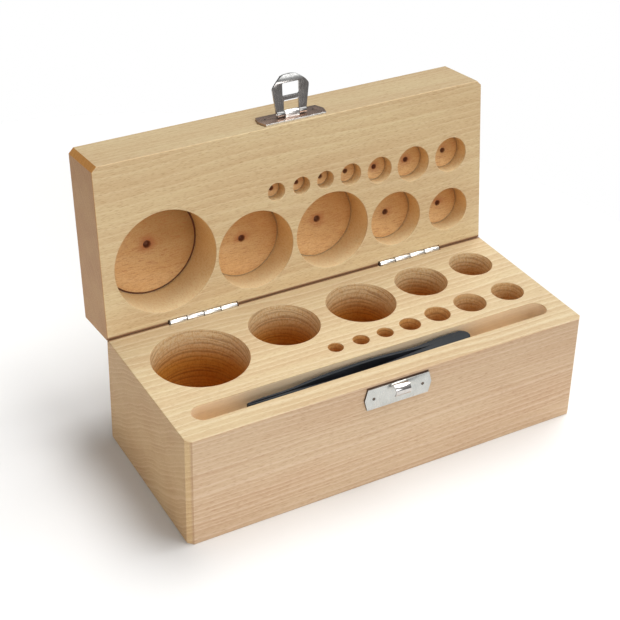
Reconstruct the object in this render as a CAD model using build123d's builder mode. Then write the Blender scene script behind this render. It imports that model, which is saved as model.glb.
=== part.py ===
from build123d import *
from math import atan2, cos, degrees, radians, sin
import os

os.makedirs("parts", exist_ok=True)

# A solid beech case for a set of button weights, lying open.
# Millimetres. Origin at the centre of the underside, X along the case, Y to the hinges, Z up.

# the two wooden blocks
case_width = 182.0
case_depth = 78.0
base_height = 49.0
lid_height = 25.0
parting_gap = 0.3
corner_cut = 2.2
edge_round = 0.4
rim_round = 0.25

# pockets: distances are from the left end and from the front face
back_row = {
    "500 g": dict(x=28.2, y=47.5, base_size=40.0, base_depth=36.0, lid_size=45.0, lid_depth=20.0),
    "200 g": dict(x=69.0, y=52.8, base_size=30.0, base_depth=30.0, lid_size=35.0, lid_depth=14.0),
    "200 g second": dict(x=105.8, y=52.8, base_size=30.0, base_depth=30.0, lid_size=35.0, lid_depth=14.0),
    "100 g": dict(x=137.6, y=55.4, base_size=23.0, base_depth=25.0, lid_size=25.0, lid_depth=9.0),
    "50 g": dict(x=165.0, y=57.5, base_size=19.0, base_depth=20.0, lid_size=20.0, lid_depth=8.5),
}
front_row = {
    "1 g": dict(x=79.6, y=28.9, base_size=6.5, base_depth=5.0, lid_size=8.0, lid_depth=5.0),
    "2 g": dict(x=91.5, y=28.9, base_size=7.0, base_depth=6.5, lid_size=8.0, lid_depth=5.0),
    "2 g second": dict(x=103.0, y=28.9, base_size=7.0, base_depth=6.5, lid_size=8.0, lid_depth=5.0),
    "5 g": dict(x=115.4, y=29.4, base_size=9.0, base_depth=8.0, lid_size=10.0, lid_depth=5.0),
    "10 g": dict(x=129.7, y=30.6, base_size=11.0, base_depth=10.0, lid_size=12.0, lid_depth=5.0),
    "20 g": dict(x=146.8, y=31.6, base_size=14.0, base_depth=13.0, lid_size=16.0, lid_depth=6.5),
    "20 g second": dict(x=166.2, y=31.6, base_size=14.0, base_depth=13.0, lid_size=16.0, lid_depth=6.5),
}
pockets = list(back_row.values()) + list(front_row.values())
spur_least = 2.0
spur_growth = 0.035
spur_depth = 1.4
spur_taper = 35.0
scribe_width = 0.45
scribe_depth = 0.35

# slot for the tweezers along the front
slot_left = 9.0
slot_right = 173.0
slot_middle = 14.6
slot_width = 9.4
slot_depth = 11.0

# hinges, let into bevels along the back edges: distances of their middles from the left end
left_hinge_x = 42.8
right_hinge_x = 144.2
hinge_length = 31.0
hinge_inset = 2.8
open_angle = 96.0
stop_relief = 0.4
bevel_cutter = 12.0
bevel_play = 0.15
knuckle_count = 4
knuckle_radius = 1.3
knuckle_gap = 0.4
groove_play = 0.15
hinge_pin_radius = 0.6
hinge_pin_play = 0.05
hinge_pin_head = 0.4
hinge_pin_head_radius = 0.9
hinge_pin_head_taper = 30.0
leaf_thickness = 0.7
leaf_start = 1.6
leaf_width = 4.15
hinge_screw_spread = 18.0
hinge_screw_out = 2.85
hinge_screw_length = 6.0
hinge_screw_point = 1.2
screw_point_taper = 22.0
screw_radius = 0.6
screw_head_radius = 1.1
pilot_play = 0.05
screw_slot_width = 0.3
screw_slot_depth = 0.25
screw_slot_overrun = 0.1
first_slot_turn = 25.0
next_slot_turn = 70.0

# catch, both its plates cut with the same tool
catch_x = 91.0
plate_length = 30.8
plate_end = 1.3
plate_thickness = 0.9
plate_pin_spread = 22.6
lid_plate_low = 1.5
lid_plate_high = 11.2
keeper_high = 1.5
keeper_low = 11.2
nail_radius = 0.4
nail_head_radius = 0.65
nail_head_height = 0.3
nail_head_taper = 45.0
nail_length = 7.0
nail_rise = 0.9
pivot_rise = 6.0
pivot_out = 2.3
curl_radius = 1.35
pivot_pin_radius = 0.6
pivot_play = 0.05
pin_end = 0.3
plate_curl_length = 6.4
lever_curl_radius = 1.2
curl_foot = 0.7
lever_sheet = 0.8
lever_foot_width = 13.6
lever_top_width = 17.2
lever_shoulder = 11.2
lever_heel = 1.0
lever_straight = 13.0
lip_radius = 3.2
lip_turn = 68.0
lever_corner = 2.4
lower_window = dict(near=-2.0, far=5.8, width=7.0)
upper_window = dict(near=7.6, far=13.2, width=7.8)
window_round = 0.6
hook_width = 6.8
hook_sheet = 0.6
hook_radius = 2.0
hook_straight = 0.4
hook_curl = 55.0

# tweezers, one moulded piece standing on edge in the slot
tweezers_length = 103.0
tweezers_tip_x = 31.8
tweezers_tip_y = 13.3
tweezers_lean = 0.75
tweezers_height = 9.3
tweezers_tip_height = 5.2
tweezers_taper_end = 40.0
tweezers_edge = 0.25
floor_play = 0.02
split_from_tip = 85.0
under_cut_margin = 1.0
butt_straight_end = 98.5
# half widths of the closed tweezers, and of the gap between the arms, by distance from the tip
arm_outside = [
    (0.0, 0.75),
    (9.0, 1.4),
    (19.0, 1.5),
    (30.0, 2.9),
    (42.0, 3.6),
    (56.0, 3.9),
    (66.0, 3.3),
    (76.0, 2.3),
    (86.0, 3.0),
]
arm_inside = [(9.0, 0.3), (19.0, 0.3), (30.0, 1.2), (42.0, 1.8), (56.0, 2.1), (66.0, 1.5), (76.0, 0.6)]
tip_gap = 0.1
butt_half_width = 3.3

# places worked out from the sizes above
left_end = -case_width / 2
front_face = -case_depth / 2
back_face = case_depth / 2
hinge_y = back_face - hinge_inset
hinge_z = base_height + parting_gap / 2
leaf_angle = (open_angle + stop_relief) / 2
groove_start = -hinge_length / 2 - hinge_pin_head - groove_play
lid_front = front_face - hinge_y
lid_bottom = parting_gap / 2
catch_middle = left_end + catch_x
turn_cos = cos(radians(open_angle))
turn_sin = sin(radians(open_angle))
knuckle_pitch = hinge_length / knuckle_count
screw_taper = degrees(atan2(screw_head_radius - screw_radius, leaf_thickness))
hinge_middles = {"left": left_end + left_hinge_x, "right": left_end + right_hinge_x}
nail_spots = [catch_middle - plate_pin_spread / 2, catch_middle + plate_pin_spread / 2]
lid_plate_middle = lid_bottom + (lid_plate_low + lid_plate_high) / 2
keeper_middle = base_height - (keeper_high + keeper_low) / 2
nail_line = lid_plate_middle + nail_rise
keeper_face_y = front_face - plate_thickness
pivot_y = lid_front - pivot_out
pivot_z = lid_bottom + pivot_rise


def base_plane(x=0.0, y=0.0, z=0.0):
    """A level plane on the base: x, y and z are offsets from the hinge axis."""
    return Plane(origin=(x, hinge_y + y, hinge_z + z), x_dir=(1, 0, 0), z_dir=(0, 0, 1))


def lid_plane(x=0.0, y=0.0, z=0.0):
    """The same plane carried by the lid as it stands open: the offsets are those of the shut case."""
    origin = (x, hinge_y + y * turn_cos + z * turn_sin, hinge_z - y * turn_sin + z * turn_cos)
    return Plane(origin=origin, x_dir=(1, 0, 0), z_dir=(0, turn_sin, turn_cos))


def looking_back(plane):
    """Turns a plane so that it looks into the wood from the front."""
    return Plane(origin=plane.origin, x_dir=plane.x_dir, z_dir=plane.y_dir)


def looking_along(plane):
    """Turns a plane so that it looks along X, with the old Y and Z as its own X and Y."""
    return Plane(origin=plane.origin, x_dir=plane.y_dir, z_dir=plane.x_dir)


def hinge_section(plane, side, x):
    """A plane across the hinge, its X running out along a leaf: side is -1 for the base and 1 for the lid."""
    return Plane(looking_along(plane(x=x)).location * Location((0, 0, 0), (0, 0, side * leaf_angle)))


def leaf_face(plane, side, x):
    """The outer face of a leaf at one of its screws, looking into the wood."""
    section = hinge_section(plane, side, x)
    origin = section.origin + section.x_dir * hinge_screw_out
    return Plane(origin=origin, x_dir=section.z_dir, z_dir=section.y_dir * side)


def facing_front(x, y, z):
    """An upright plane on the base that looks into the wood from the front."""
    return Plane(origin=(x, y, z), x_dir=(1, 0, 0), z_dir=(0, 1, 0))


def pocket_spot(pocket, plane_y):
    """Where a pocket lies on a level plane whose origin is at the given Y of the shut case."""
    return left_end + pocket["x"], front_face + pocket["y"] - plane_y


def spur_radius(size):
    """The centre prick grows a little with the bit."""
    return (spur_least + spur_growth * size) / 2


def screw_spots(middle):
    """Where the two screws of a leaf lie along the hinge."""
    return [middle - hinge_screw_spread / 2, middle + hinge_screw_spread / 2]


# base block: pockets and the tweezers slot cut in a solid block
with BuildPart() as base_block:
    with BuildSketch(Plane.XY):
        Rectangle(case_width, case_depth)
        chamfer(vertices(), corner_cut)
    extrude(amount=base_height)
    fillet(base_block.faces().sort_by(Axis.Z)[-1].edges(), edge_round)
    fillet(base_block.faces().sort_by(Axis.Z)[0].edges(), edge_round)
    for pocket in pockets:
        with BuildSketch(Plane.XY.offset(base_height)):
            with Locations(pocket_spot(pocket, 0)):
                Circle(pocket["base_size"] / 2)
        extrude(amount=-pocket["base_depth"], mode=Mode.SUBTRACT)
        with BuildSketch(Plane.XY.offset(base_height - pocket["base_depth"])):
            with Locations(pocket_spot(pocket, 0)):
                Circle(spur_radius(pocket["base_size"]))
        extrude(amount=-spur_depth, taper=spur_taper, mode=Mode.SUBTRACT)
    with BuildSketch(Plane.XY.offset(base_height)):
        with Locations(((slot_left + slot_right) / 2 + left_end, front_face + slot_middle)):
            SlotOverall(slot_right - slot_left, slot_width)
    extrude(amount=-slot_depth, mode=Mode.SUBTRACT)
    fillet(base_block.faces().sort_by(Axis.Z)[-1].inner_wires().edges(), rim_round)
    with BuildSketch(hinge_section(base_plane, -1, left_end)):
        with Locations((0, bevel_cutter / 2 - bevel_play)):
            Rectangle(2 * bevel_cutter, bevel_cutter)
    extrude(amount=case_width, mode=Mode.SUBTRACT)
    for middle in hinge_middles.values():
        with BuildSketch(hinge_section(base_plane, -1, middle + groove_start)):
            with Locations((bevel_cutter / 2, bevel_cutter / 2 - leaf_thickness)):
                Rectangle(bevel_cutter, bevel_cutter)
        extrude(amount=-2 * groove_start, mode=Mode.SUBTRACT)
        with BuildSketch(looking_along(base_plane(x=middle + groove_start))):
            Circle(knuckle_radius + groove_play)
        extrude(amount=-2 * groove_start, mode=Mode.SUBTRACT)
        for spot in screw_spots(middle):
            with BuildSketch(leaf_face(base_plane, -1, spot).offset(leaf_thickness)):
                Circle(screw_radius + pilot_play)
            extrude(amount=hinge_screw_length + pilot_play, mode=Mode.SUBTRACT)
    for spot in nail_spots:
        with BuildSketch(facing_front(spot, front_face, keeper_middle)):
            Circle(nail_radius + pilot_play)
        extrude(amount=nail_length, mode=Mode.SUBTRACT)
base_block.part.label = "base_block"
export_step(base_block.part, "parts/base_block.step")


# lid block: flat pockets with the centre prick and the scribed ring that the bit leaves
with BuildPart() as lid_block:
    with BuildSketch(lid_plane(0, lid_front + case_depth / 2, lid_bottom)):
        Rectangle(case_width, case_depth)
        chamfer(vertices(), corner_cut)
    extrude(amount=lid_height)
    lid_up = Axis((0, 0, 0), lid_plane().z_dir)
    fillet(lid_block.faces().sort_by(lid_up)[-1].edges(), edge_round)
    fillet(lid_block.faces().sort_by(lid_up)[0].edges(), edge_round)
    for pocket in pockets:
        spot = pocket_spot(pocket, hinge_y)
        with BuildSketch(lid_plane(z=lid_bottom)):
            with Locations(spot):
                Circle(pocket["lid_size"] / 2)
        extrude(amount=pocket["lid_depth"], mode=Mode.SUBTRACT)
        with BuildSketch(lid_plane(z=lid_bottom + pocket["lid_depth"])):
            with Locations(spot):
                Circle(spur_radius(pocket["lid_size"]))
        extrude(amount=spur_depth, taper=spur_taper, mode=Mode.SUBTRACT)
        with BuildSketch(lid_plane(z=lid_bottom + pocket["lid_depth"])):
            with Locations(spot):
                Circle(pocket["lid_size"] / 2)
                Circle(pocket["lid_size"] / 2 - scribe_width, mode=Mode.SUBTRACT)
        extrude(amount=scribe_depth, mode=Mode.SUBTRACT)
    fillet(lid_block.faces().sort_by(lid_up)[0].inner_wires().edges(), rim_round)
    with BuildSketch(hinge_section(lid_plane, 1, left_end)):
        with Locations((0, bevel_play - bevel_cutter / 2)):
            Rectangle(2 * bevel_cutter, bevel_cutter)
    extrude(amount=case_width, mode=Mode.SUBTRACT)
    for middle in hinge_middles.values():
        with BuildSketch(hinge_section(lid_plane, 1, middle + groove_start)):
            with Locations((bevel_cutter / 2, leaf_thickness - bevel_cutter / 2)):
                Rectangle(bevel_cutter, bevel_cutter)
        extrude(amount=-2 * groove_start, mode=Mode.SUBTRACT)
        with BuildSketch(looking_along(lid_plane(x=middle + groove_start))):
            Circle(knuckle_radius + groove_play)
        extrude(amount=-2 * groove_start, mode=Mode.SUBTRACT)
        for spot in screw_spots(middle):
            with BuildSketch(leaf_face(lid_plane, 1, spot).offset(leaf_thickness)):
                Circle(screw_radius + pilot_play)
            extrude(amount=hinge_screw_length + pilot_play, mode=Mode.SUBTRACT)
    for spot in nail_spots:
        with BuildSketch(looking_back(lid_plane(spot, lid_front, nail_line))):
            Circle(nail_radius + pilot_play)
        extrude(amount=nail_length, mode=Mode.SUBTRACT)
lid_block.part.label = "lid_block"
export_step(lid_block.part, "parts/lid_block.step")


# hinges: two rolled leaves on the bevels, whose faces meet when the lid is open, and a pin
def hinge_leaf(plane, side, middle, own_knuckles):
    """One leaf: side is -1 for the base and 1 for the lid, own_knuckles counts from the left."""
    start = middle - hinge_length / 2
    with BuildPart() as leaf:
        with BuildSketch(hinge_section(plane, side, start)):
            with Locations(((leaf_start + leaf_width) / 2, side * leaf_thickness / 2)):
                Rectangle(leaf_width - leaf_start, leaf_thickness)
        extrude(amount=hinge_length)
        for number in own_knuckles:
            with BuildSketch(hinge_section(plane, side, start + number * knuckle_pitch + knuckle_gap / 2)):
                Circle(knuckle_radius)
                with Locations((leaf_start / 2, side * leaf_thickness / 2)):
                    Rectangle(leaf_start, leaf_thickness)
                Circle(hinge_pin_radius + hinge_pin_play, mode=Mode.SUBTRACT)
            extrude(amount=knuckle_pitch - knuckle_gap)
        for spot in screw_spots(middle):
            with BuildSketch(leaf_face(plane, side, spot)):
                Circle(screw_head_radius + pilot_play)
            extrude(amount=leaf_thickness, taper=screw_taper, mode=Mode.SUBTRACT)
    return leaf.part


def hinge_screws(plane, side, middle):
    """The two countersunk screws of one leaf, their slots turned as they happened to stop."""
    with BuildPart() as screws:
        for number, spot in enumerate(screw_spots(middle)):
            head = leaf_face(plane, side, spot)
            with BuildSketch(head):
                Circle(screw_head_radius)
            extrude(amount=leaf_thickness, taper=screw_taper)
            with BuildSketch(head.offset(leaf_thickness)):
                Circle(screw_radius)
            extrude(amount=hinge_screw_length - hinge_screw_point)
            with BuildSketch(head.offset(leaf_thickness + hinge_screw_length - hinge_screw_point)):
                Circle(screw_radius)
            extrude(amount=hinge_screw_point, taper=screw_point_taper)
            with BuildSketch(head):
                with Locations(Location((0, 0, 0), (0, 0, first_slot_turn + next_slot_turn * number))):
                    Rectangle(2 * (screw_head_radius + screw_slot_overrun), screw_slot_width)
            extrude(amount=screw_slot_depth, mode=Mode.SUBTRACT)
    return screws.part


def hinge_pin(middle):
    """The pin, with its two peened ends."""
    with BuildPart() as pin:
        with BuildSketch(looking_along(base_plane(x=middle - hinge_length / 2))):
            Circle(hinge_pin_radius)
        extrude(amount=hinge_length)
        for end, way in ((middle - hinge_length / 2, -1), (middle + hinge_length / 2, 1)):
            with BuildSketch(looking_along(base_plane(x=end))):
                Circle(hinge_pin_head_radius)
            extrude(amount=way * hinge_pin_head, taper=hinge_pin_head_taper)
    return pin.part


for side_name, middle in hinge_middles.items():
    pieces = {
        "hinge_base_leaf": hinge_leaf(base_plane, -1, middle, (0, 2)),
        "hinge_lid_leaf": hinge_leaf(lid_plane, 1, middle, (1, 3)),
        "hinge_pin": hinge_pin(middle),
        "hinge_base_screws": hinge_screws(base_plane, -1, middle),
        "hinge_lid_screws": hinge_screws(lid_plane, 1, middle),
    }
    for piece_name, piece in pieces.items():
        piece.label = f"{side_name}_{piece_name}"
        export_step(piece, f"parts/{side_name}_{piece_name}.step")


# catch: a plate on each block, both with ends cut to a shallow point
def plate_outline(height):
    """The corners of a catch plate of the given height."""
    half = plate_length / 2
    return [
        (plate_end - half, height / 2),
        (half - plate_end, height / 2),
        (half, 0),
        (half - plate_end, -height / 2),
        (plate_end - half, -height / 2),
        (-half, 0),
    ]


with BuildPart() as catch_plate:
    plate_face = lid_plane(catch_middle, lid_front - plate_thickness, lid_plate_middle)
    with BuildSketch(looking_back(plate_face)):
        with BuildLine():
            Polyline(*plate_outline(lid_plate_high - lid_plate_low), close=True)
        make_face()
    extrude(amount=plate_thickness)
    with BuildSketch(looking_along(lid_plane(catch_middle - plate_curl_length / 2, pivot_y, pivot_z))):
        Circle(curl_radius)
        with Locations(((pivot_out - plate_thickness / 2) / 2, curl_foot / 2 - curl_radius)):
            Rectangle(pivot_out - plate_thickness / 2, curl_foot)
        Circle(pivot_pin_radius + pivot_play, mode=Mode.SUBTRACT)
    extrude(amount=plate_curl_length)
    for spot in nail_spots:
        with BuildSketch(looking_back(lid_plane(spot, lid_front - plate_thickness, nail_line))):
            Circle(nail_radius + pilot_play)
        extrude(amount=plate_thickness, mode=Mode.SUBTRACT)
catch_plate.part.label = "catch_plate"
export_step(catch_plate.part, "parts/catch_plate.step")


def nails(head_planes):
    """Two nails with low round heads, each driven along its plane's own direction."""
    with BuildPart() as pair:
        for head in head_planes:
            with BuildSketch(head):
                Circle(nail_head_radius)
            extrude(amount=-nail_head_height, taper=nail_head_taper)
            with BuildSketch(head):
                Circle(nail_radius)
            extrude(amount=nail_length)
    return pair.part


catch_plate_nails = nails(
    [looking_back(lid_plane(spot, lid_front - plate_thickness, nail_line)) for spot in nail_spots]
)
catch_plate_nails.label = "catch_plate_nails"
export_step(catch_plate_nails, "parts/catch_plate_nails.step")

with BuildPart() as catch_pin:
    pin_start = catch_middle - lever_foot_width / 2 - pin_end
    with BuildSketch(looking_along(lid_plane(pin_start, pivot_y, pivot_z))):
        Circle(pivot_pin_radius)
    extrude(amount=lever_foot_width + 2 * pin_end)
    chamfer(catch_pin.edges().filter_by(GeomType.CIRCLE), pin_end / 2)
catch_pin.part.label = "catch_pin"
export_step(catch_pin.part, "parts/catch_pin.step")


# catch lever: a sprung sheet with two windows, drawn standing straight out from the lid
lever_pivot = lid_plane(catch_middle, pivot_y, pivot_z)
lever_flat = Plane(origin=lever_pivot.origin, x_dir=(1, 0, 0), z_dir=-lever_pivot.z_dir)
lever_side = Plane(origin=lever_pivot.origin, x_dir=-lever_pivot.y_dir, z_dir=(1, 0, 0))
half_sheet = lever_sheet / 2
lip_end = radians(lip_turn)
lip_outer = lip_radius + half_sheet
lip_inner = lip_radius - half_sheet
lever_reach = lever_straight + lip_outer * sin(lip_end)

with BuildPart() as catch_lever:
    with BuildSketch(lever_side):
        with BuildLine():
            Polyline(
                (lever_straight, -half_sheet),
                (0, -half_sheet),
                (0, half_sheet),
                (lever_straight, half_sheet),
            )
            CenterArc((lever_straight, -lip_radius), lip_outer, 90, -lip_turn)
            CenterArc((lever_straight, -lip_radius), lip_inner, 90, -lip_turn)
            Line(
                (lever_straight + lip_outer * sin(lip_end), lip_outer * cos(lip_end) - lip_radius),
                (lever_straight + lip_inner * sin(lip_end), lip_inner * cos(lip_end) - lip_radius),
            )
        make_face()
    extrude(amount=lever_top_width, both=True)
    with BuildSketch(lever_flat):
        with BuildLine():
            Polyline(
                (lever_top_width / 2, lever_shoulder),
                (lever_foot_width / 2, -lever_heel),
                (-lever_foot_width / 2, -lever_heel),
                (-lever_top_width / 2, lever_shoulder),
            )
            ThreePointArc(
                (-lever_top_width / 2, lever_shoulder),
                (0, lever_reach),
                (lever_top_width / 2, lever_shoulder),
            )
        make_face()
        fillet(vertices().group_by(Axis(lever_flat.origin, lever_flat.y_dir))[-1], lever_corner)
    extrude(amount=lever_reach, both=True, mode=Mode.INTERSECT)
    with BuildSketch(looking_along(lid_plane(catch_middle - lever_foot_width / 2, pivot_y, pivot_z))):
        Circle(lever_curl_radius)
    extrude(amount=lever_foot_width)
    with BuildSketch(lever_flat):
        for window in (lower_window, upper_window):
            with Locations((0, (window["near"] + window["far"]) / 2)):
                RectangleRounded(window["width"], window["far"] - window["near"], window_round)
    extrude(amount=lever_reach, both=True, mode=Mode.SUBTRACT)
    with BuildSketch(looking_along(lid_plane(catch_middle, pivot_y, pivot_z))):
        Circle(pivot_pin_radius + pivot_play)
    extrude(amount=lever_top_width, both=True, mode=Mode.SUBTRACT)
catch_lever.part.label = "catch_lever"
export_step(catch_lever.part, "parts/catch_lever.step")


# keeper: the plate on the base, with a tongue of its own sheet curled over into a hook
hook_half = hook_sheet / 2
hook_inner = hook_radius - hook_half
hook_outer = hook_radius + hook_half
hook_y = front_face - plate_thickness / 2 - hook_radius
hook_top_z = base_height - keeper_high - hook_outer
hook_low_z = hook_top_z - hook_straight
hook_end = radians(180 + hook_curl)

with BuildPart() as keeper_plate:
    with BuildSketch(facing_front(catch_middle, keeper_face_y, keeper_middle)):
        with BuildLine():
            Polyline(*plate_outline(keeper_low - keeper_high), close=True)
        make_face()
    extrude(amount=plate_thickness)
    with BuildSketch(Plane.YZ.offset(catch_middle - hook_width / 2)):
        with BuildLine():
            for radius in (hook_inner, hook_outer):
                CenterArc((hook_y, hook_top_z), radius, 0, 180)
                Line((hook_y - radius, hook_top_z), (hook_y - radius, hook_low_z))
                CenterArc((hook_y, hook_low_z), radius, 180, hook_curl)
            Line(
                (hook_y + hook_inner * cos(hook_end), hook_low_z + hook_inner * sin(hook_end)),
                (hook_y + hook_outer * cos(hook_end), hook_low_z + hook_outer * sin(hook_end)),
            )
            Line((hook_y + hook_inner, hook_top_z), (hook_y + hook_outer, hook_top_z))
        make_face()
    extrude(amount=hook_width)
    for spot in nail_spots:
        with BuildSketch(facing_front(spot, keeper_face_y, keeper_middle)):
            Circle(nail_radius + pilot_play)
        extrude(amount=plate_thickness, mode=Mode.SUBTRACT)
keeper_plate.part.label = "keeper_plate"
export_step(keeper_plate.part, "parts/keeper_plate.step")

keeper_nails = nails([facing_front(spot, keeper_face_y, keeper_middle) for spot in nail_spots])
keeper_nails.label = "keeper_nails"
export_step(keeper_nails, "parts/keeper_nails.step")


# tweezers: two arms moulded together at the butt, lying slightly askew
tweezers_floor = base_height - slot_depth + floor_play
lean = radians(tweezers_lean)
tweezers_plane = Plane(
    origin=(left_end + tweezers_tip_x, front_face + tweezers_tip_y, tweezers_floor),
    x_dir=(cos(lean), sin(lean), 0),
    z_dir=(0, 0, 1),
)
tweezers_side = Plane(
    origin=tweezers_plane.origin, x_dir=tweezers_plane.x_dir, z_dir=-tweezers_plane.y_dir
)


def mirrored(points):
    """The other arm's points."""
    return [(along, -across) for along, across in points]


with BuildPart() as tweezers:
    with BuildSketch(tweezers_plane):
        with BuildLine():
            outside = arm_outside + [(butt_straight_end, butt_half_width)]
            inside = [(0.0, tip_gap)] + arm_inside + [(split_from_tip, 0.0)]
            Spline(*outside)
            ThreePointArc(
                (butt_straight_end, butt_half_width),
                (tweezers_length, 0),
                (butt_straight_end, -butt_half_width),
            )
            Spline(*mirrored(outside))
            Line(mirrored(outside)[0], mirrored(inside)[0])
            Spline(*mirrored(inside))
            Spline(*inside)
            Line(inside[0], outside[0])
        make_face()
    extrude(amount=tweezers_height)
    with BuildSketch(tweezers_side):
        with BuildLine():
            Polyline(
                (-under_cut_margin, tweezers_height - tweezers_tip_height),
                (0, tweezers_height - tweezers_tip_height),
                (tweezers_taper_end, 0),
                (tweezers_taper_end, -under_cut_margin),
                (-under_cut_margin, -under_cut_margin),
                close=True,
            )
        make_face()
    extrude(amount=slot_width, both=True, mode=Mode.SUBTRACT)
    top_edges = tweezers.faces().sort_by(Axis.Z)[-1].edges().sort_by(SortBy.LENGTH)
    chamfer([top_edges[2], *top_edges[-2:]], tweezers_edge)
tweezers.part.label = "tweezers"
export_step(tweezers.part, "parts/tweezers.step")
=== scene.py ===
import bpy, bmesh
from math import pi, radians
from mathutils import Matrix, Vector


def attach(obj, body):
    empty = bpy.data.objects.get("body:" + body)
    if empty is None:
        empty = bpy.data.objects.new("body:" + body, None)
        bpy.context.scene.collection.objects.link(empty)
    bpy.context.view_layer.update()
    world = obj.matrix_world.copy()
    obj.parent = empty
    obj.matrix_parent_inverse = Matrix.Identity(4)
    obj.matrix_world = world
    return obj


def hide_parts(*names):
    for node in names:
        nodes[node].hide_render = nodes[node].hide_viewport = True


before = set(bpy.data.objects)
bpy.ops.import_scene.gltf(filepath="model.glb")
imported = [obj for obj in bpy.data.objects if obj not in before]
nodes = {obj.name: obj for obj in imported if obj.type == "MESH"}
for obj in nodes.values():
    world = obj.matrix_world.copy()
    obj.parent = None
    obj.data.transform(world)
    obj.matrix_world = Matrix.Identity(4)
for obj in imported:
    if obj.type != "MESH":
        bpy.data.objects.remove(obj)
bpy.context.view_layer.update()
print("frame loaded,", len(nodes), "pieces")


# helpers for node trees

def newMaterial(name):
    material = bpy.data.materials.new(name)
    material.use_nodes = True
    tree = material.node_tree
    tree.nodes.clear()
    shader = addNode(tree, "ShaderNodeBsdfPrincipled")
    output = addNode(tree, "ShaderNodeOutputMaterial")
    tree.links.new(shader.outputs["BSDF"], output.inputs["Surface"])
    return material, tree, shader


def addNode(tree, kind, links=None, **settings):
    node = tree.nodes.new(kind)
    for key, value in settings.items():
        setattr(node, key, value)
    for key, value in (links or {}).items():
        if isinstance(value, bpy.types.NodeSocket):
            tree.links.new(value, node.inputs[key])
        else:
            node.inputs[key].default_value = value
    return node


def calc(tree, operation, first, second=0.0, third=0.0):
    links = {0: first, 1: second}
    if operation == "MULTIPLY_ADD":
        links[2] = third
    return addNode(tree, "ShaderNodeMath", links, operation=operation).outputs[0]


def times(tree, first, second):
    return calc(tree, "MULTIPLY", first, second)


def size(tree, value):
    return calc(tree, "ABSOLUTE", value)


def smoothRange(tree, value, low, high, toLow=0.0, toHigh=1.0):
    links = {"Value": value, "From Min": low, "From Max": high, "To Min": toLow, "To Max": toHigh}
    return addNode(tree, "ShaderNodeMapRange", links, interpolation_type="SMOOTHSTEP").outputs[0]


def band(tree, value, rise, fall):
    # full from the end of the rise to the start of the fall, and nothing beyond them
    return times(tree, smoothRange(tree, value, *rise), smoothRange(tree, value, *fall, 1.0, 0.0))


def axesOf(tree, vector):
    return addNode(tree, "ShaderNodeSeparateXYZ", {"Vector": vector}).outputs


def along(tree, vector, direction):
    links = {0: vector, 1: direction}
    return addNode(tree, "ShaderNodeVectorMath", links, operation="DOT_PRODUCT").outputs["Value"]


def stretched(tree, vector, scale, move=(0, 0, 0)):
    # turned after stretching, so that the cells of the pattern don't line up across the grain
    links = {"Vector": vector, "Scale": scale, "Rotation": (0.6, 0.9, 0.4), "Location": move}
    return addNode(tree, "ShaderNodeMapping", links).outputs[0]


def noise(tree, vector, detail=3.0, roughness=0.5):
    links = {"Vector": vector, "Scale": 1.0, "Detail": detail, "Roughness": roughness}
    return addNode(tree, "ShaderNodeTexNoise", links).outputs["Fac"]


def lineNoise(tree, value, scale):
    links = {"W": value, "Scale": scale, "Detail": 1.0}
    return addNode(tree, "ShaderNodeTexNoise", links, noise_dimensions="1D").outputs["Fac"]


def cells(tree, vector):
    return addNode(tree, "ShaderNodeTexVoronoi", {"Vector": vector, "Scale": 1.0}).outputs


def blend(tree, factor, first, second, mode="MIX"):
    node = addNode(tree, "ShaderNodeMix", data_type="RGBA", blend_type=mode)
    for index, value in ((0, factor), (6, first), (7, second)):
        if isinstance(value, bpy.types.NodeSocket):
            tree.links.new(value, node.inputs[index])
        else:
            node.inputs[index].default_value = value
    return node.outputs[2]


def tint(tree, factor, colour, other):
    return blend(tree, factor, colour, other, "MULTIPLY")


def bump(tree, shader, *layers):
    # each layer is (height, distance in metres, strength)
    previous = None
    for height, distance, strength in layers:
        links = {"Height": height, "Distance": distance, "Strength": strength}
        if previous:
            links["Normal"] = previous
        previous = addNode(tree, "ShaderNodeBump", links).outputs[0]
    tree.links.new(previous, shader.inputs["Normal"])


def srgb(red, green, blue):
    parts = [channel / 255 for channel in (red, green, blue)]
    linear = [part / 12.92 if part < 0.0404 else ((part + 0.055) / 1.055) ** 2.4 for part in parts]
    return (*linear, 1.0)


case = {  # mm and degrees
    "width": 182.0,
    "depth": 78.0,
    "hinge": Vector((0, 36.2, 49.15)),  # the hinge line, from the middle of the base's underside
    "gap": 0.15,  # from the hinge line's level to the face of each block
    "opened": 96.0,
}

# pockets in mm: place from the left end and the front face, then width in the base and in the lid
pockets = [
    (28.2, 47.5, 40, 45), (69, 52.8, 30, 35), (105.8, 52.8, 30, 35), (137.6, 55.4, 23, 25),
    (165, 57.5, 19, 20), (79.6, 28.9, 6.5, 8), (91.5, 28.9, 7, 8), (103, 28.9, 7, 8),
    (115.4, 29.4, 9, 10), (129.7, 30.6, 11, 12), (146.8, 31.6, 14, 16), (166.2, 31.6, 14, 16),
]


# beech, in mm from the hinge line of the shut case

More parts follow.
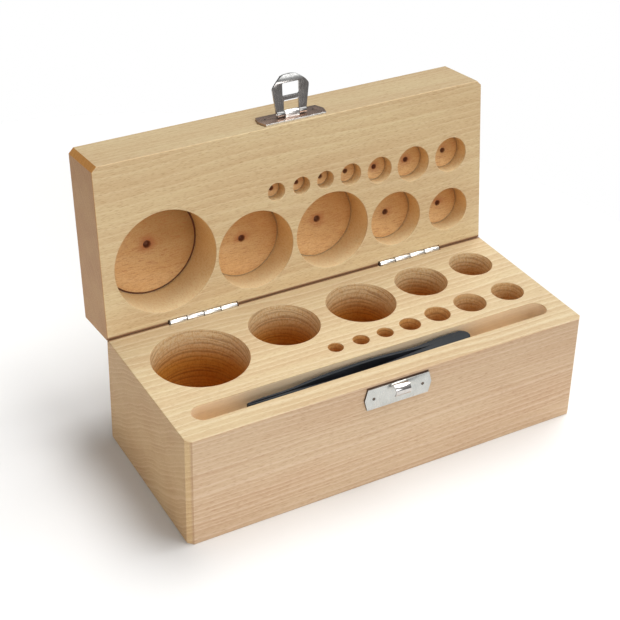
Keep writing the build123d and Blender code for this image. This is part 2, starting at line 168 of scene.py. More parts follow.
beech = {
    "lean": 30,  # degrees between the growth layers and the level
    "ringWidth": 1.9,
    "wander": 9.0,  # how far the rings stray over the whole block
    "waver": 0.9,  # and from place to place
    "uneven": 2.2,  # how much they differ in width
    "unevenScale": 0.22,
    "early": ((0.0, 0.06), (0.1, 0.3)),  # where in a ring its pale and its dark wood rise and fall
    "late": ((0.25, 0.93), (0.93, 1.0)),
    "pale": srgb(224, 202, 157),
    "warm": srgb(216, 189, 145),
    "lateWood": srgb(194, 154, 112),
    "earlyWood": srgb(236, 217, 178),
    "fleck": srgb(164, 112, 66),
    "silver": srgb(236, 216, 178),
    "silverStrength": 0.16,
    "endGrain": srgb(214, 176, 140),
    "uprightPaintedLight": srgb(236, 229, 240),  # painted light: the base's front and back faces are tinted pinker
    # painted shade that tones down the base's faces looking up
    "paintedTopShade": srgb(240, 243, 248),
    # painted shade on the lid's uppermost long face
    "paintedEdgeShade": srgb(226, 226, 226),
    # painted shadow along the keeper's upper edge
    "keeperShadow": srgb(84, 54, 38),
    "seamShadow": srgb(120, 72, 42),  # painted shadow with warm bounce light on the edges that meet at the hinges
    "ragged": 0.5,  # how unevenly they are darkened
    "shine": 0.35,
}
baseBlock = {
    "opened": 0.0,  # degrees from the shut case
    "cutAt": (0, 0, 0),  # place in the log
    "late": 0.45,  # how strong the figure is
    "early": 0.5,
    "flecks": 0.45,
    "endGrain": 0.5,
    "corner": srgb(236, 226, 216),
    "inward": -1.0,  # the way its pockets are drilled
    "end": 38.5,  # no pocket with its prick reaches deeper than this
    "burnished": 0.5,
    "torn": 1.0,
}
lidBlock = {
    "opened": case["opened"],
    "cutAt": (240, 13, 37),
    "late": 0.3,
    "early": 0.25,
    "flecks": 0.55,
    "endGrain": 0.85,
    "corner": srgb(226, 182, 124),  # the lid's cut corners are browner
    "inward": 1.0,
    "end": 22.5,
    "burnished": 0.8,
    "torn": 0.6,
}
# noises in the wood: scale along the grain and both ways across it, move, detail, roughness
patterns = {
    "wander": ((0.006, 0.03, 0.03), (0, 0, 0), 2.0, 0.5),
    "waver": ((0.03, 0.16, 0.16), (0, 0, 0), 2.0, 0.5),
    "ringTone": ((0.01, 0.05, 0.35), (3, 1, 7), 1.0, 0.5),
    "fibre": ((0.14, 3.2, 3.2), (0, 0, 0), 4.0, 0.62),
    "pores": ((0.7, 8.0, 8.0), (5, 5, 5), 2.0, 0.6),
    "broad": ((0.012, 0.07, 0.07), (9, 2, 4), 2.0, 0.5),
    "streaks": ((0.3, 3.4, 3.4), (1, 4, 6), 4.0, 0.65),
}
# the short dark ends of the rays, and the flakes where a ray is laid open: scale and move
rayEnds = [((0.26, 3.6, 2.2), (0, 0, 0)), ((0.4, 4.8, 3.0), (7, 3, 9))]
rayFlakes = ((0.3, 1.6, 0.45), (2, 8, 3))
drilled = {
    "wall": srgb(255, 240, 198),
    "slot": srgb(246, 222, 192),
    "marks": srgb(240, 222, 198),
    "floor": srgb(238, 214, 192),
    "shade": srgb(240, 216, 184),
    "floorShade": srgb(196, 200, 188),
    # painted shade deep in the base's pockets and in narrow ones
    "pocketShade": srgb(236, 192, 112),
    "burnt": srgb(88, 38, 16),
    "scorched": srgb(168, 88, 48),
    "cutRing": srgb(150, 98, 58),  # the rings as a bit lays them open
    "feed": 0.55,  # mm between the marks of the bit
    "shake": 1.3,  # how unevenly it is fed
    "steps": 2.0,  # mm between the rings it cuts through
    "stepShape": ((0.4, 0.9), (0.9, 1.0)),
    "stepStray": (2.0, 3.0, 0.8),  # how the steps stray: by their own noise, wander and waver
    "stepScale": 0.3,
    "tilt": (0.06, 0.2, -0.97),  # the way that the steps follow one another
    "torn": ((1.5, 1.5, 0.8), 3.0, 0.7),  # noise of the torn grain: scale, detail, roughness
    "upward": (0.6, -0.8, 0),  # towards a lid pocket's shaded side
    "shadeStrength": (0.6, 0.4),  # of the floor's shade: in every lid pocket, and added in the widest
    "ringStrength": (0.55, 0.4),  # of the burnt ring, in the same way
    "ringMove": 0.35,  # how much further in the widest lid pocket's ring lies
    "margin": 0.3,  # past a pocket's wall that still counts as inside it
    "far": 1000.0,  # further than any pocket
    "slotMiddle": -60.6,
    "halo": 0.75,
    "spurGrowth": 0.035,  # the prick grows with the bit, as in the solid
}
# where a tone starts, where it ends, and its strength at both; in mm, or from 0 to 1 of a noise or a facing
ramps = {
    "broad": (0.3, 0.7),
    "ringTone": (0.3, 0.75, 0.2, 1.0),
    "fibre": (0.35, 0.75, 0.0, 0.25),
    "pores": (0.58, 0.78, 0.0, 0.28),
    "rayCore": (0.12, 0.42, 1.0, 0.0),
    "rayCell": (0.35, 0.8),
    "flake": (0.1, 0.5, 1.0, 0.0),
    "across": (0.75, 0.95),  # faces cut across the grain
    "slantRise": (0.45, 0.65),  # faces of the cut corners
    "slantFall": (0.78, 0.9),
    "ends": (88.2, 88.7),
    "outer": (38.0, 38.8),  # the front and back faces, from the middle of the block
    "upright": (0.45, 0.7),
    "top": (0.7, 0.9),
    "edge": (0.7, 0.9),  # the lid's long face that lies uppermost when it is open, toned down as painted shade
    "keeperShadowRise": (-1.9, -1.7),
    "keeperShadowFall": (-1.3, -1.1),
    "keeperShadowHalf": (14.0, 14.6, 1.0, 0.0),
    "keeperShadowFront": (-75.1, -74.9, 0.85, 0.0),
    "seamShadowReach": (0.55, 1.1, 0.85, 0.0),
    "mouth": (case["gap"] + 0.15, case["gap"] + 0.6),  # just under a block's face
    "wall": (0.15, 0.4, 1.0, 0.0),
    "floor": (-0.6, -0.2, 1.0, 0.0),
    "torn": (0.42, 0.66),
    "deepest": (14.5, 19.5),  # the widest lid pocket is drilled deepest; it is burnt the most and gets the most painted shade
    "lift": (-0.7, 0.8),  # a lid pocket's shaded side, in radii from its middle
    "streaks": (0.5, 0.66, 0.0, 0.55),
    "stepTone": (0.3, 0.65, 0.2, 0.5),
    "narrowShade": (4.0, 9.0, 0.7, 0.0),  # narrow pockets, by their radius, which get painted shade
    "pocketShade": (3.0, 17.0),
    "slot": (4.8, 4.95, 0.6, 0.0),  # from its middle line
    "slotEnd": (82.2, 82.6, 1.0, 0.0),
    "ring": (-0.62, -0.4),
    "ringHeight": (4.9, 5.15),
    "onFloor": (0.5, 0.9),
    "prick": (0.7, 1.15, 0.9, 0.0),
    "halo": (0.9, 3.2, 1.0, 0.0),
    "haloPatches": (0.3, 0.7),
    "roughness": (0.2, 0.8, 0.42, 0.62),
}
relief = {"fibre": (0.00006, 0.5), "late": (0.00003, 0.35), "pores": (0.00003, 0.5), "marks": (0.00012, 0.4)}


def ramp(tree, value, name):
    return smoothRange(tree, value, *ramps[name])


def findPlace(tree, block):
    # millimetres from the hinge line, as the block lies when the case is shut, then along its growth layers
    place = addNode(tree, "ShaderNodeTexCoord").outputs
    turn = radians(block["opened"])
    back = -(Matrix.Rotation(turn, 3, "X") @ case["hinge"])
    shut = addNode(tree, "ShaderNodeMapping", {
        "Vector": place["Object"], "Rotation": (turn, 0, 0), "Scale": (1000, 1000, 1000), "Location": back,
    }).outputs[0]
    grain = addNode(tree, "ShaderNodeMapping", {
        "Vector": shut, "Rotation": (radians(beech["lean"]), 0, 0), "Location": block["cutAt"],
    }).outputs[0]
    facing = addNode(tree, "ShaderNodeMapping", {
        "Vector": place["Normal"], "Rotation": (turn, 0, 0),
    }, vector_type="NORMAL").outputs[0]
    return shut, grain, axesOf(tree, facing), axesOf(tree, shut)


def growFigure(tree, grain):
    grown = {}
    for part, (scale, move, detail, roughness) in patterns.items():
        grown[part] = noise(tree, stretched(tree, grain, scale, move), detail, roughness)

    # growth rings: they wander slowly and differ in width
    radial = calc(tree, "MULTIPLY_ADD", grown["wander"], beech["wander"], axesOf(tree, grain)["Z"])
    radial = calc(tree, "MULTIPLY_ADD", grown["waver"], beech["waver"], radial)
    uneven = lineNoise(tree, radial, beech["unevenScale"])
    rings = calc(tree, "DIVIDE", radial, beech["ringWidth"])
    phase = calc(tree, "FRACT", calc(tree, "MULTIPLY_ADD", uneven, beech["uneven"], rings))
    grown["early"] = band(tree, phase, *beech["early"])
    late = band(tree, phase, *beech["late"])
    grown["late"] = times(tree, late, ramp(tree, grown["ringTone"], "ringTone"))

    # the dark ends of the rays and their pale flakes
    grown["flecks"] = 0.0
    for scale, move in rayEnds:
        dash = cells(tree, stretched(tree, grain, scale, move))
        cell = addNode(tree, "ShaderNodeSeparateColor", {"Color": dash["Color"]}).outputs[0]
        dark = times(tree, ramp(tree, dash["Distance"], "rayCore"), ramp(tree, cell, "rayCell"))
        grown["flecks"] = calc(tree, "MAXIMUM", dark, grown["flecks"])
    flake = cells(tree, stretched(tree, grain, *rayFlakes))
    grown["flakes"] = ramp(tree, flake["Distance"], "flake")
    return grown


def colourWood(tree, grown, block):
    # from the broad tones down to the flecks
    colour = blend(tree, ramp(tree, grown["broad"], "broad"), beech["pale"], beech["warm"])
    colour = blend(tree, times(tree, grown["late"], block["late"]), colour, beech["lateWood"])
    colour = blend(tree, times(tree, grown["early"], block["early"]), colour, beech["earlyWood"])
    colour = blend(tree, ramp(tree, grown["fibre"], "fibre"), colour, beech["lateWood"])
    colour = blend(tree, times(tree, grown["flakes"], beech["silverStrength"]), colour, beech["silver"])
    colour = blend(tree, times(tree, grown["flecks"], block["flecks"]), colour, beech["fleck"])
    return blend(tree, ramp(tree, grown["pores"], "pores"), colour, beech["fleck"])


def colourOutside(tree, colour, grown, facing, spot, block):
    # wood cut across the grain is darker
    across = size(tree, facing["X"])
    endGrain = smoothRange(tree, across, *ramps["across"], 0.0, block["endGrain"])
    colour = tint(tree, endGrain, colour, beech["endGrain"])
    slant = band(tree, across, ramps["slantRise"], ramps["slantFall"])
    ends = ramp(tree, size(tree, spot["X"]), "ends")
    colour = tint(tree, times(tree, slant, ends), colour, block["corner"])
    fromMiddle = calc(tree, "ADD", spot["Y"], case["hinge"].y)
    outer = ramp(tree, size(tree, fromMiddle), "outer")
    if block is baseBlock:
        # painted light: the front and back faces tinted pinker, and the faces looking up toned down as
        # painted shade
        upright = ramp(tree, size(tree, facing["Y"]), "upright")
        colour = tint(tree, times(tree, upright, outer), colour, beech["uprightPaintedLight"])
        colour = tint(tree, ramp(tree, facing["Z"], "top"), colour, beech["paintedTopShade"])
        # a painted shadow line along the keeper's upper edge
        keeperShadow = band(tree, spot["Z"], ramps["keeperShadowRise"], ramps["keeperShadowFall"])
        keeperShadow = times(tree, keeperShadow, ramp(tree, size(tree, spot["X"]), "keeperShadowHalf"))
        keeperShadow = times(tree, keeperShadow, ramp(tree, spot["Y"], "keeperShadowFront"))
        colour = blend(tree, keeperShadow, colour, beech["keeperShadow"])
    else:
        # painted shade on the lid's long face that lies uppermost when open
        edge = ramp(tree, times(tree, facing["Y"], -1.0), "edge")
        colour = tint(tree, times(tree, edge, outer), colour, beech["paintedEdgeShade"])
    # painted shadow in the seam: how far a place is from the hinge line, a little ragged
    seamShadowReach = addNode(tree, "ShaderNodeCombineXYZ", {"Y": spot["Y"], "Z": spot["Z"]}).outputs[0]
    seamShadowReach = addNode(tree, "ShaderNodeVectorMath", {0: seamShadowReach}, operation="LENGTH").outputs["Value"]
    uneven = calc(tree, "SUBTRACT", grown["fibre"], 0.5)
    seamShadowReach = calc(tree, "MULTIPLY_ADD", uneven, beech["ragged"], seamShadowReach)
    return blend(tree, ramp(tree, seamShadowReach, "seamShadowReach"), colour, beech["seamShadow"])


def nearestPocket(tree, spot, block):
    # how far a point lies outside the nearest pocket, how far from its middle, and how far up across it
    level = addNode(tree, "ShaderNodeCombineXYZ", {"X": spot["X"], "Y": spot["Y"]}).outputs[0]
    outside, middle, lift = drilled["far"], drilled["far"], 0.0
    for left, front, inBase, inLid in pockets:
        radius = (inBase if block is baseBlock else inLid) / 2
        place = (left - case["width"] / 2, front - case["depth"] / 2 - case["hinge"].y, 0)
        links = {0: level, 1: place}
        away = addNode(tree, "ShaderNodeVectorMath", links, operation="DISTANCE").outputs["Value"]
        outside = calc(tree, "MINIMUM", calc(tree, "SUBTRACT", away, radius), outside)
        middle = calc(tree, "MINIMUM", away, middle)
        inside = calc(tree, "LESS_THAN", away, radius + drilled["margin"])
        offset = addNode(tree, "ShaderNodeVectorMath", links, operation="SUBTRACT").outputs[0]
        up = calc(tree, "DIVIDE", along(tree, offset, drilled["upward"]), radius)
        lift = calc(tree, "MULTIPLY_ADD", inside, up, lift)
    return outside, middle, lift


def shadeLidPocket(tree, colour, within, floor, lift, deepest):
    shade = times(tree, within, ramp(tree, lift, "lift"))
    colour = tint(tree, shade, colour, drilled["shade"])
    shade = times(tree, shade, floor)
    least, more = drilled["shadeStrength"]
    shade = times(tree, shade, calc(tree, "MULTIPLY_ADD", deepest, more, least))
    return tint(tree, shade, colour, drilled["floorShade"])


def shadeBasePocket(tree, colour, grown, shut, within, radius, height):
    # the base's deep walls show the rings as wavy steps, and are darkened downwards and in narrow pockets as
    # painted shade
    tilted = along(tree, shut, drilled["tilt"])
    own, wander, waver = drilled["stepStray"]
    steps = calc(tree, "DIVIDE", tilted, drilled["steps"])
    steps = calc(tree, "MULTIPLY_ADD", grown["wander"], wander, steps)
    steps = calc(tree, "MULTIPLY_ADD", lineNoise(tree, tilted, drilled["stepScale"]), own, steps)
    steps = calc(tree, "FRACT", calc(tree, "MULTIPLY_ADD", grown["waver"], waver, steps))
    steps = band(tree, steps, *drilled["stepShape"])
    steps = times(tree, steps, ramp(tree, grown["ringTone"], "stepTone"))
    colour = blend(tree, times(tree, steps, within), colour, drilled["cutRing"])
    narrowShade = ramp(tree, radius, "narrowShade")
    pocketShade = calc(tree, "MAXIMUM", ramp(tree, height, "pocketShade"), narrowShade)
    return tint(tree, times(tree, pocketShade, within), colour, drilled["pocketShade"])


def colourSlot(tree, colour, spot, below):
    fromSlot = size(tree, calc(tree, "SUBTRACT", spot["Y"], drilled["slotMiddle"]))
    slot = times(tree, ramp(tree, fromSlot, "slot"), ramp(tree, size(tree, spot["X"]), "slotEnd"))
    return blend(tree, times(tree, slot, below), colour, drilled["slot"])


def colourPockets(tree, colour, grown, shut, facing, spot, block):
    # the bit burnishes a pocket's wall and leaves fine rings on it
    outside, middle, lift = nearestPocket(tree, spot, block)
    height = times(tree, spot["Z"], block["inward"])
    below = ramp(tree, height, "mouth")
    below = times(tree, below, smoothRange(tree, height, block["end"], block["end"] + 0.5, 1.0, 0.0))
    within = times(tree, ramp(tree, outside, "wall"), below)
    floor = times(tree, ramp(tree, outside, "floor"), below)
    radius = calc(tree, "SUBTRACT", middle, outside)
    colour = blend(tree, times(tree, within, block["burnished"]), colour, drilled["wall"])
    scale, detail, roughness = drilled["torn"]
    torn = noise(tree, stretched(tree, shut, scale), detail, roughness)
    torn = smoothRange(tree, torn, *ramps["torn"], 0.0, block["torn"])
    colour = tint(tree, times(tree, torn, within), colour, drilled["marks"])
    turned = calc(tree, "DIVIDE", height, drilled["feed"])
    turned = calc(tree, "MULTIPLY_ADD", grown["waver"], drilled["shake"], turned)
    marks = times(tree, calc(tree, "PINGPONG", turned, 0.5), within)
    colour = tint(tree, marks, colour, drilled["marks"])
    # pocket floors darkened: partly wood burnished by the bit, partly painted shade under the walls
    colour = tint(tree, floor, colour, drilled["floor"])
    deepest = 0.0 if block is baseBlock else ramp(tree, height, "deepest")
    if block is lidBlock:
        colour = shadeLidPocket(tree, colour, within, floor, lift, deepest)
    streaks = times(tree, floor, ramp(tree, grown["streaks"], "streaks"))
    colour = blend(tree, streaks, colour, drilled["scorched"])
    if block is baseBlock:
        colour = shadeBasePocket(tree, colour, grown, shut, within, radius, height)
        colour = colourSlot(tree, colour, spot, below)

    # burns: the ring at the foot of the wall, and the prick with its halo
    ring = ramp(tree, calc(tree, "MULTIPLY_ADD", deepest, drilled["ringMove"], outside), "ring")
    ring = times(tree, ring, ramp(tree, height, "ringHeight"))
    ring = times(tree, ring, ramp(tree, size(tree, facing["Z"]), "onFloor"))
    least, more = drilled["ringStrength"]
    ring = times(tree, ring, calc(tree, "MULTIPLY_ADD", deepest, more, least))
    spur = calc(tree, "MULTIPLY_ADD", radius, drilled["spurGrowth"], 1.0)
    fromSpur = calc(tree, "DIVIDE", middle, spur)
    halo = times(tree, ramp(tree, fromSpur, "halo"), ramp(tree, grown["waver"], "haloPatches"))
    inside = times(tree, below, within)
    halo = times(tree, times(tree, halo, drilled["halo"]), inside)
    colour = blend(tree, halo, colour, drilled["scorched"])
    burnt = calc(tree, "MAXIMUM", ring, ramp(tree, fromSpur, "prick"))
    return blend(tree, times(tree, burnt, inside), colour, drilled["burnt"]), marks


def makeBeech(name, block):
    material, tree, shader = newMaterial(name)
    shut, grain, facing, spot = findPlace(tree, block)
    grown = growFigure(tree, grain)
    colour = colourWood(tree, grown, block)
    colour = colourOutside(tree, colour, grown, facing, spot, block)
    colour, marks = colourPockets(tree, colour, grown, shut, facing, spot, block)
    tree.links.new(colour, shader.inputs["Base Color"])
    tree.links.new(ramp(tree, grown["fibre"], "roughness"), shader.inputs["Roughness"])
    shader.inputs["Specular IOR Level"].default_value = beech["shine"]
    heights = {"fibre": grown["fibre"], "late": grown["late"], "pores": grown["pores"], "marks": marks}
    bump(tree, shader, *((heights[layer], *depth) for layer, depth in relief.items()))
    return material


baseWood = makeBeech("beech_base", baseBlock)
lidWood = makeBeech("beech_lid", lidBlock)
print("beech done")


# metal and plastic

# brushed is the scale of the fine lines, in cells per metre along each axis
nickel = {  # the keeper
    "colour": (0.58, 0.59, 0.57, 1), "dull": (0.53, 0.54, 0.52, 1),
    "roughness": 0.27, "brushed": (4200, 4200, 260),
}
bright = {  # hinge leaves, and the catch plate's curl and downward faces as a painted highlight
    "colour": (0.92, 0.91, 0.89, 1), "dull": (0.80, 0.78, 0.75, 1),
    "roughness": 0.28, "brushed": (500, 2600, 2600),
}
mirror = {  # the keeper's hook
    "colour": (0.66, 0.64, 0.62, 1), "dull": (0.56, 0.53, 0.51, 1),
    "roughness": 0.12, "brushed": (500, 2600, 2600),
}
lever = {  # the catch's lever, and the screws
    "colour": (0.50, 0.47, 0.45, 1), "dull": (0.44, 0.41, 0.39, 1),
    "roughness": 0.2, "brushed": (2600, 2600, 300),
}
lip = {  # the lever's turned lip: a darker copy of the lever's nickel, painted shade that holds its highlight down
    "colour": (0.24, 0.24, 0.235, 1), "dull": (0.19, 0.19, 0.185, 1),
    "roughness": 0.4, "brushed": (2600, 300, 2600),
}
woodReflected = {  # the catch plate, browned as a painted reflection of the wood
    "colour": (0.47, 0.33, 0.26, 1), "dull": (0.38, 0.27, 0.21, 1),
    "roughness": 0.26, "brushed": (4200, 4200, 300),
}
dark = {  # nails, pins, and the keeper's upper and left edges, there dull cut steel darkened further as a painted dark reflection
    "colour": (0.14, 0.11, 0.09, 1), "dull": (0.08, 0.06, 0.05, 1),
    "roughness": 0.34, "brushed": (900, 2600, 2600),
}
plastic = {
    # the tone of the upward faces is a painted sheen
    "colour": srgb(30, 32, 37), "worn": srgb(48, 52, 59), "paintedSheen": srgb(30, 36, 42),
    "roughness": 0.52, "cloud": (90, 200, 200), "grit": (5200, 5200, 5200), "shine": 0.25,
    "rubbed": (0.4, 0.75, 0.0, 0.5), "facingUp": (0.4, 0.9),
    "gritRelief": (0.000012, 0.35), "cloudRelief": (0.0002, 0.15),
}
metalSkin = {  # scales of the patterns, where they dull the metal, and their relief: metres deep, strength
    "cloud": (260, 260, 260), "grit": (6000, 6000, 6000),
    "clouded": (0.35, 0.75), "scratched": (0.5, 0.85, 0.0, 0.25),
    "brushedRelief": (0.000002, 0.3), "gritRelief": (0.000003, 0.3), "cloudRelief": (0.00003, 0.15),
}


def makeMetal(name, look):
    material, tree, shader = newMaterial(name)
    place = addNode(tree, "ShaderNodeTexCoord").outputs["Object"]
    cloud = noise(tree, stretched(tree, place, metalSkin["cloud"]))
    brushed = noise(tree, stretched(tree, place, look["brushed"]), roughness=0.6)
    grit = noise(tree, stretched(tree, place, metalSkin["grit"]), detail=2.0)
    colour = blend(tree, smoothRange(tree, cloud, *metalSkin["clouded"]), look["colour"], look["dull"])
    colour = blend(tree, smoothRange(tree, brushed, *metalSkin["scratched"]), colour, look["dull"])
    tree.links.new(colour, shader.inputs["Base Color"])
    shader.inputs["Metallic"].default_value = 1.0
    rough = smoothRange(tree, brushed, 0.25, 0.8, look["roughness"] * 0.8, look["roughness"] * 1.5)
    tree.links.new(rough, shader.inputs["Roughness"])
    layers = (brushed, "brushedRelief"), (grit, "gritRelief"), (cloud, "cloudRelief")
    bump(tree, shader, *((height, *metalSkin[depth]) for height, depth in layers))
    return material


def makePlastic(name, look):
    material, tree, shader = newMaterial(name)
    place = addNode(tree, "ShaderNodeTexCoord").outputs
    cloud = noise(tree, stretched(tree, place["Object"], look["cloud"]))
    grit = noise(tree, stretched(tree, place["Object"], look["grit"]), detail=2.0)
    rubbed = smoothRange(tree, cloud, *look["rubbed"])
    colour = blend(tree, rubbed, look["colour"], look["worn"])
    # painted sheen: faces looking upward are tinted lighter and bluer
    up = axesOf(tree, place["Normal"])["Z"]
    colour = blend(tree, smoothRange(tree, up, *look["facingUp"]), colour, look["paintedSheen"])
    tree.links.new(colour, shader.inputs["Base Color"])
    rough = smoothRange(tree, cloud, 0.3, 0.7, look["roughness"] - 0.05, look["roughness"] + 0.1)
    tree.links.new(rough, shader.inputs["Roughness"])
    shader.inputs["Specular IOR Level"].default_value = look["shine"]
    bump(tree, shader, (grit, *look["gritRelief"]), (cloud, *look["cloudRelief"]))
    return material


nickelPlate = makeMetal("nickel_plate", nickel)
brightNickel = makeMetal("bright_nickel", bright)
mirrorNickel = makeMetal("mirror_nickel", mirror)
leverNickel = makeMetal("lever_nickel", lever)
lipNickel = makeMetal("lip_nickel", lip)
woodReflectedNickel = makeMetal("wood_reflected_nickel", woodReflected)
darkSteel = makeMetal("dark_steel", dark)
darkPlastic = makePlastic("dark_plastic", plastic)


def paint(node, material):
    node.data.materials.clear()
    node.data.materials.append(material)


paint(nodes["base_block"], baseWood)
paint(nodes["lid_block"], lidWood)
print("materials done")


# hardware: pieces in millimetres of the shut case, carried to their place on the base or the lid

mending = {
    "weld": 0.000002,  # metres between doubles
    "flat": 0.6,  # degrees between faces that are one
    "sharp": 35,  # degrees at an edge that is rounded
}


def toPlace(body):
    if body == "base":
        return Matrix.Scale(0.001, 4)
    line = Matrix.Translation(case["hinge"])
    return Matrix.Scale(0.001, 4) @ line @ Matrix.Rotation(-radians(case["opened"]), 4, "X") @ line.inverted()


def shutBox(name, body):
    # the box of a CAD piece in the shut case, in millimetres
    back = toPlace(body).inverted()
    spots = [back @ vertex.co for vertex in nodes[name].data.vertices]
    return [Vector(limit(spot[axis] for spot in spots) for axis in range(3)) for limit in (min, max)]


def addPiece(name, shape, material, body, node, edge=0.0, rounds=3):
    # edge is the width of its rounded edges, in millimetres
    bmesh.ops.recalc_face_normals(shape, faces=shape.faces)
    mesh = bpy.data.meshes.new(name)
    shape.to_mesh(mesh)
    shape.free()
    mesh.shade_smooth()
    mesh.materials.append(material)
    piece = bpy.data.objects.new(name, mesh)
    bpy.context.scene.collection.objects.link(piece)
    if edge:
        soft = piece.modifiers.new("edge", "BEVEL")
        soft.width = edge / 1000
        soft.segments = rounds
        soft.angle_limit = radians(mending["sharp"])
        soft.harden_normals = True
    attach(piece, body)
    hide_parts(node)
    return piece


def softened(name, body, material, edge, rounds=2, others=()):
    # the CAD form itself, with its sharp edges broken as pressing, plating or moulding leaves them;
    # others is (material, test of a face's middle and normal in the shut case)
    shape = bmesh.new()
    shape.from_mesh(nodes[name].data)
    bmesh.ops.remove_doubles(shape, verts=shape.verts, dist=mending["weld"])
    flat = radians(mending["flat"])
    bmesh.ops.dissolve_limit(shape, angle_limit=flat, verts=shape.verts, edges=shape.edges)
    back = toPlace(body).inverted()
    for face in shape.faces:
        middle = back @ face.calc_center_median()
        normal = (back.to_3x3() @ face.normal).normalized()
        for number, (other, chosen) in enumerate(others):
            if chosen(middle, normal):
                face.material_index = number + 1
    piece = addPiece(name + "_finished", shape, material, body, name, edge=edge, rounds=rounds)
    for other, chosen in others:
        piece.data.materials.append(other)
    return piece


nail = {  # mm, as radius from the middle and depth behind the plate's face
    "head": 0.68, "rise": 0.32, "dent": 0.12, "underHead": 0.02,
    "shank": 0.4, "neck": 0.06, "length": 6.8, "point": 1.2, "sides": 28,
}


def makeNails(name, body):
    # low domed heads with the dent of the punch, turned about the middle of each nail
    low, high = shutBox(name, body)
    face = low.y + nail["rise"]
    level = (low.z + high.z) / 2
    head, rise = nail["head"], nail["rise"]
    shape = bmesh.new()
    profile = [
        (0, -rise + nail["dent"]), (head * 0.3, -rise), (head * 0.75, -rise * 0.7), (head, -rise * 0.15),
        (head, nail["underHead"]), (nail["shank"], nail["neck"]),
        (nail["shank"], nail["length"] - nail["point"]), (0, nail["length"]),
    ]
    for end in (low.x + head, high.x - head):
        line = [shape.verts.new((end + out, face + behind, level)) for out, behind in profile]
        edges = [shape.edges.new(pair) for pair in zip(line, line[1:])]
        bmesh.ops.spin(
            shape, geom=line + edges, cent=(end, face, level), axis=(0, 1, 0),
            angle=2 * pi, steps=nail["sides"], use_merge=True,
        )
    bmesh.ops.remove_doubles(shape, verts=shape.verts, dist=0.001)
    bmesh.ops.transform(shape, matrix=toPlace(body), verts=shape.verts)
    addPiece(name + "_domed", shape, darkSteel, body, name)


makeNails("keeper_nails", "base")
makeNails("catch_plate_nails", "lid")
for side in ("left", "right"):
    softened(side + "_hinge_base_leaf", "base", brightNickel, 0.1)
    softened(side + "_hinge_lid_leaf", "lid", brightNickel, 0.1)
    softened(side + "_hinge_pin", "base", darkSteel, 0.1)
    softened(side + "_hinge_base_screws", "base", leverNickel, 0.05)
    softened(side + "_hinge_lid_screws", "lid", leverNickel, 0.05)


# faces of the shut case's fittings that differ from the rest, told by a face's middle and normal
plate = {
    "front": -39.9,  # mm from the middle of the case to the face of the plates
    "proud": 0.25,  # what stands further out than this is the curl or the hook
    "turned": 0.5,  # least part of a normal along an axis
    "lipTurned": 0.3,
}


def curledPart(middle, normal):
    return middle.y < plate["front"] - plate["proud"]


# painted dark reflection: dull cut steel given only to the keeper's upward and leftward edges
def paintedDarkEdge(middle, normal):
    turned = plate["turned"]
    sideways = abs(normal.y) < turned and (normal.z > turned or normal.x < -turned)
    return sideways and not curledPart(middle, normal)


# painted highlight: the catch plate's curl and downward faces get bright nickel
def paintedBrightEdge(middle, normal):
    return curledPart(middle, normal) or normal.z < -plate["turned"]


# painted shade: the lever's front-facing faces get the darker lip nickel
def lipFace(middle, normal):
    return normal.y < -plate["lipTurned"]


keeperFaces = [(mirrorNickel, curledPart), (darkSteel, paintedDarkEdge)]
softened("keeper_plate", "base", nickelPlate, 0.18, 3, keeperFaces)
softened("catch_plate", "lid", woodReflectedNickel, 0.15, 3, [(brightNickel, paintedBrightEdge)])
softened("catch_lever", "lever", leverNickel, 0.18, 3, [(lipNickel, lipFace)])
softened("catch_pin", "lid", brightNickel, 0.08)
softened("tweezers", "tweezers_body", darkPlastic, 0.3, 3)
print("hardware done")


# floor, light and camera

studio = {
    "floor": {"radius": 0.3, "middle": (-0.08, 0.05, 0), "sides": 96, "roughness": 0.9, "shine": 0.1},
    "paper": {"colour": (0.87, 0.865, 0.855, 1), "grain": (900, 900, 900), "relief": (0.00002, 0.2)},
    # strength of the sky low down and high up, and where it rises from the one to the other
    "sky": {"lights": (0.1, 0.1), "mirrored": (0.22, 0.5), "rise": (0.1, 0.75)},
}
lights = {
    "key": {"from": (0.4, -0.26, 1.0), "angle": 30, "power": 1.3},
    "top": {"from": (0.5, 0.25, 1.0), "angle": 40, "power": 2.2},
    "front": {"from": (0.0, -1.0, 0.25), "angle": 40, "power": 1.3},
    "left": {"from": (-1.0, -0.25, 0.3), "angle": 40, "power": 0.7},
}


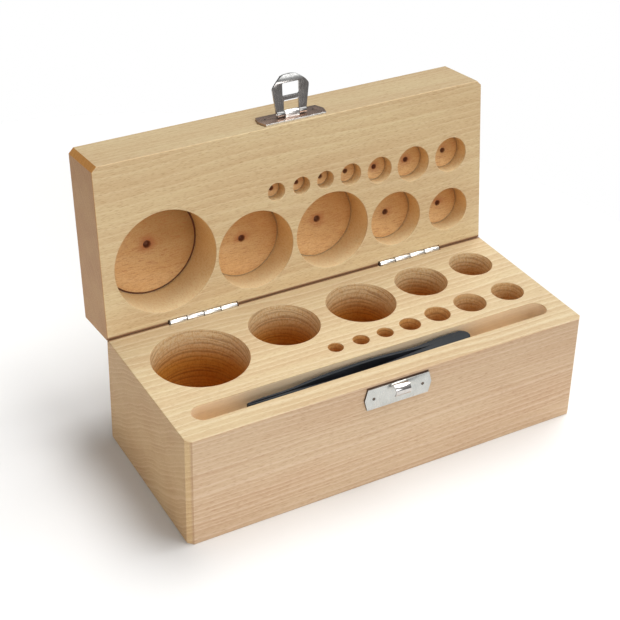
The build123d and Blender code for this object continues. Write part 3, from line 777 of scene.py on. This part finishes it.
def makeFloor():
    mesh = bpy.data.meshes.new("floor")
    sheet = bmesh.new()
    look, paper = studio["floor"], studio["paper"]
    bmesh.ops.create_circle(sheet, cap_ends=True, segments=look["sides"], radius=look["radius"])
    bmesh.ops.translate(sheet, vec=look["middle"], verts=sheet.verts)
    sheet.to_mesh(mesh)
    sheet.free()
    floor = bpy.data.objects.new("floor", mesh)
    bpy.context.scene.collection.objects.link(floor)
    material, tree, shader = newMaterial("paper_floor")
    place = addNode(tree, "ShaderNodeTexCoord").outputs["Object"]
    grain = noise(tree, stretched(tree, place, paper["grain"]))
    shader.inputs["Base Color"].default_value = paper["colour"]
    shader.inputs["Roughness"].default_value = look["roughness"]
    shader.inputs["Specular IOR Level"].default_value = look["shine"]
    bump(tree, shader, (grain, *paper["relief"]))
    floor.data.materials.append(material)


def makeLight(name, look):
    lamp = bpy.data.lights.new(name, "SUN")
    lamp.angle = radians(look["angle"])
    lamp.energy = look["power"]
    thing = bpy.data.objects.new(name, lamp)
    bpy.context.scene.collection.objects.link(thing)
    thing.rotation_euler = Vector(look["from"]).to_track_quat("Z", "Y").to_euler()


def makeSky():
    # white to the eye, and dim near the horizon for what it lights and is mirrored in
    world = bpy.data.worlds.new("studio")
    bpy.context.scene.world = world
    world.use_nodes = True
    tree = world.node_tree
    backdrop = tree.nodes["Background"]
    place = addNode(tree, "ShaderNodeTexCoord").outputs["Generated"]
    up = axesOf(tree, place)["Z"]
    rays = addNode(tree, "ShaderNodeLightPath").outputs
    sky = studio["sky"]
    lighting = smoothRange(tree, up, *sky["rise"], *sky["lights"])
    mirrored = smoothRange(tree, up, *sky["rise"], *sky["mirrored"])
    strength = calc(tree, "MAXIMUM", lighting, times(tree, mirrored, rays["Is Glossy Ray"]))
    tree.links.new(calc(tree, "MAXIMUM", strength, rays["Is Camera Ray"]), backdrop.inputs["Strength"])
    backdrop.inputs["Color"].default_value = (1, 1, 1, 1)


makeFloor()
makeSky()
for name, look in lights.items():
    makeLight(name, look)

view = {
    "place": (-0.26623, -0.4299, 0.38616),
    "turn": (61.177, -0.588, -28.238),
    "lens": 85.426,
    "sensor": 36,
    "shift": (0.0484, -0.1774),
    "clip": (0.01, 50),
}
lens = bpy.data.cameras.new("camera")
lens.lens = view["lens"]
lens.sensor_width = view["sensor"]
lens.shift_x, lens.shift_y = view["shift"]
lens.clip_start, lens.clip_end = view["clip"]
camera = bpy.data.objects.new("camera", lens)
bpy.context.scene.collection.objects.link(camera)
camera.location = view["place"]
camera.rotation_euler = [radians(angle) for angle in view["turn"]]
bpy.context.scene.camera = camera
bpy.context.scene.view_settings.view_transform = "Standard"
print("studio done")
